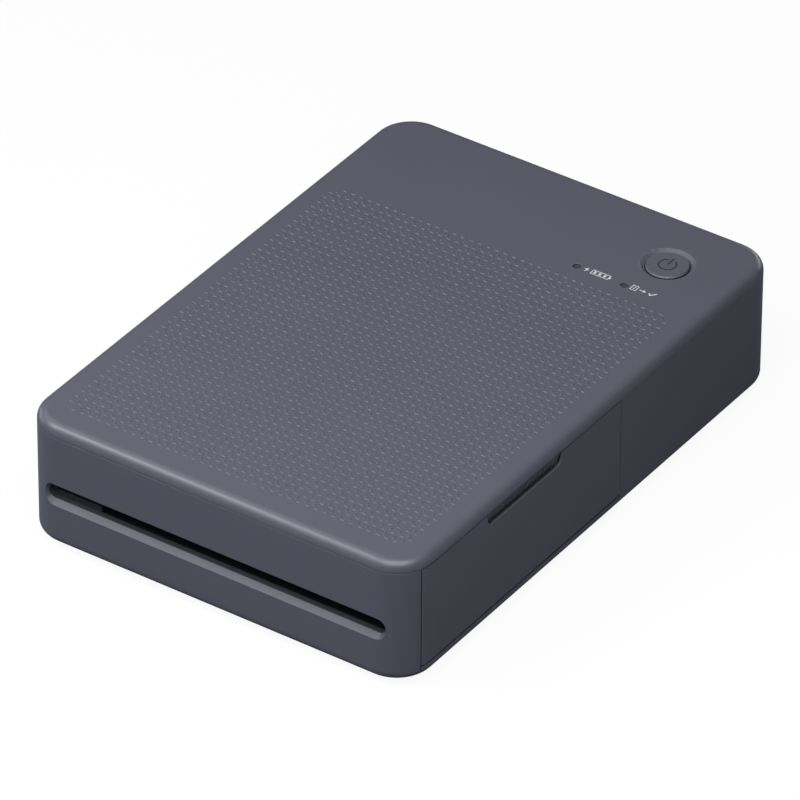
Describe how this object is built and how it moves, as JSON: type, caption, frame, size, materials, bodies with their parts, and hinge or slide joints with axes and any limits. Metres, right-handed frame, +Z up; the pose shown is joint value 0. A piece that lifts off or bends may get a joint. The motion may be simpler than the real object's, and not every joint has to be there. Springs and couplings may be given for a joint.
{
  "type": "compact photo printer",
  "caption": "Flat palm-size photo printer with a front paper slot, a top power button and a side door over its paper and ribbon cassette.",
  "frame": {"origin": "bottom centre, on the surface that the rubber feet rest on", "axes": "-Y is the front with the paper slot, +X is the right side with the door, +Z is up"},
  "size_m": [0.1022, 0.1458, 0.0329],
  "materials": {
    "slate_plastic": "fine moulded grain, matte",
    "dark_plastic": "fine moulded grain, matte",
    "black_plastic": "matte",
    "clear_plastic": "clear, polished",
    "gear_plastic": "natural acetal",
    "black_rubber": "matte",
    "steel": "plated",
    "aluminium": "extruded",
    "ceramic": "glazed",
    "board_green": "solder resist",
    "battery_wrap": "shrink film",
    "ribbon_film": "thin film",
    "photo_paper": "smooth"
  },
  "bodies": {
    "case": {"upper_case": "slate_plastic", "front_bezel": "slate_plastic", "lower_case": "slate_plastic", "rubber_feet": "black_rubber", "case_screws": "steel", "power_switch": "black_plastic", "button_board": "board_green", "light_pipes": "clear_plastic", "side_frame": "steel", "bay_wall": "steel", "top_plate": "steel", "roller_bracket": "steel", "exit_guide": "black_plastic", "thermal_head": "ceramic", "head_heat_sink": "aluminium", "drive_motor": "steel", "cassette_tray": "dark_plastic", "cassette_cover": "dark_plastic", "lift_plate": "steel", "paper_stack": "photo_paper", "ribbon_web": "ribbon_film", "main_board": "board_green", "battery": "battery_wrap", "usb_socket": "steel"},
    "door": {"cassette_door": "slate_plastic", "door_hinge_pins": "steel"},
    "button": {"power_button": "slate_plastic"},
    "capstan": {"capstan_roller": "steel", "capstan_gear": "gear_plastic"},
    "platen": {"platen_roller": "black_rubber", "platen_shaft": "steel", "platen_gear": "gear_plastic"},
    "pinch": {"pinch_roller": "black_rubber"},
    "front_idler": {"front_idler_gear": "gear_plastic"},
    "clutch": {"clutch_gear": "gear_plastic"},
    "upper_idler": {"upper_idler_gear": "gear_plastic"},
    "middle_idler": {"middle_idler_gear": "gear_plastic"},
    "rear_idler": {"rear_idler_gear": "gear_plastic"},
    "motor_shaft": {"motor_pinion": "steel"},
    "pickup": {"pickup_tyres": "black_rubber", "pickup_shaft": "steel", "pickup_gear": "gear_plastic"},
    "supply": {"supply_spool": "gear_plastic", "supply_roll": "ribbon_film"},
    "takeup": {"takeup_spool": "gear_plastic", "takeup_roll": "ribbon_film"}
  },
  "joints": [
    {"name": "door_hinge", "type": "hinge", "parent": "case", "child": "door", "pos_m": [0.049, 0, 0.00665], "axis": [0, 1, 0], "range_deg": [0, 92]},
    {"name": "button_press", "type": "slide", "parent": "case", "child": "button", "axis": [0, 0, -1], "range_m": [0, 0.0005], "stiffness_N_per_m": 400},
    {"name": "capstan_spin", "type": "hinge", "parent": "case", "child": "capstan", "pos_m": [0, -0.065, 0.01295], "axis": [1, 0, 0], "continuous": true},
    {"name": "platen_spin", "type": "hinge", "parent": "case", "child": "platen", "pos_m": [0, -0.051, 0.01235], "axis": [1, 0, 0], "continuous": true},
    {"name": "pinch_spin", "type": "hinge", "parent": "case", "child": "pinch", "pos_m": [0, -0.065, 0.01675], "axis": [1, 0, 0], "continuous": true},
    {"name": "front_idler_spin", "type": "hinge", "parent": "case", "child": "front_idler", "pos_m": [0, -0.05773, 0.01906], "axis": [1, 0, 0], "continuous": true},
    {"name": "clutch_spin", "type": "hinge", "parent": "case", "child": "clutch", "pos_m": [0, -0.04573, 0.02256], "axis": [1, 0, 0], "continuous": true},
    {"name": "upper_idler_spin", "type": "hinge", "parent": "case", "child": "upper_idler", "pos_m": [0, -0.03129, 0.02116], "axis": [1, 0, 0], "continuous": true},
    {"name": "middle_idler_spin", "type": "hinge", "parent": "case", "child": "middle_idler", "pos_m": [0, -0.01477, 0.01716], "axis": [1, 0, 0], "continuous": true},
    {"name": "rear_idler_spin", "type": "hinge", "parent": "case", "child": "rear_idler", "pos_m": [0, 0.00323, 0.01716], "axis": [1, 0, 0], "continuous": true},
    {"name": "motor_spin", "type": "hinge", "parent": "case", "child": "motor_shaft", "pos_m": [0, 0.01519, 0.01616], "axis": [1, 0, 0], "continuous": true},
    {"name": "pickup_spin", "type": "hinge", "parent": "case", "child": "pickup", "pos_m": [0, -0.04109, 0.0137], "axis": [1, 0, 0], "continuous": true},
    {"name": "takeup_spin", "type": "hinge", "parent": "case", "child": "takeup", "pos_m": [0, -0.04573, 0.02256], "axis": [1, 0, 0], "continuous": true},
    {"name": "supply_spin", "type": "hinge", "parent": "case", "child": "supply", "pos_m": [0, -0.05835, 0.02256], "axis": [1, 0, 0], "continuous": true}
  ],
  "couplings": [
    {"joint": "platen_spin", "follows": "capstan_spin", "ratio": 1},
    {"joint": "pinch_spin", "follows": "capstan_spin", "ratio": -1},
    {"joint": "front_idler_spin", "follows": "capstan_spin", "ratio": -0.58333},
    {"joint": "clutch_spin", "follows": "capstan_spin", "ratio": 0.53846},
    {"joint": "upper_idler_spin", "follows": "capstan_spin", "ratio": -0.4375},
    {"joint": "middle_idler_spin", "follows": "capstan_spin", "ratio": 0.38889},
    {"joint": "rear_idler_spin", "follows": "capstan_spin", "ratio": -0.38889},
    {"joint": "motor_spin", "follows": "capstan_spin", "ratio": 1.1667},
    {"joint": "pickup_spin", "follows": "capstan_spin", "ratio": -1},
    {"joint": "supply_spin", "follows": "takeup_spin", "ratio": 1}
  ]
}
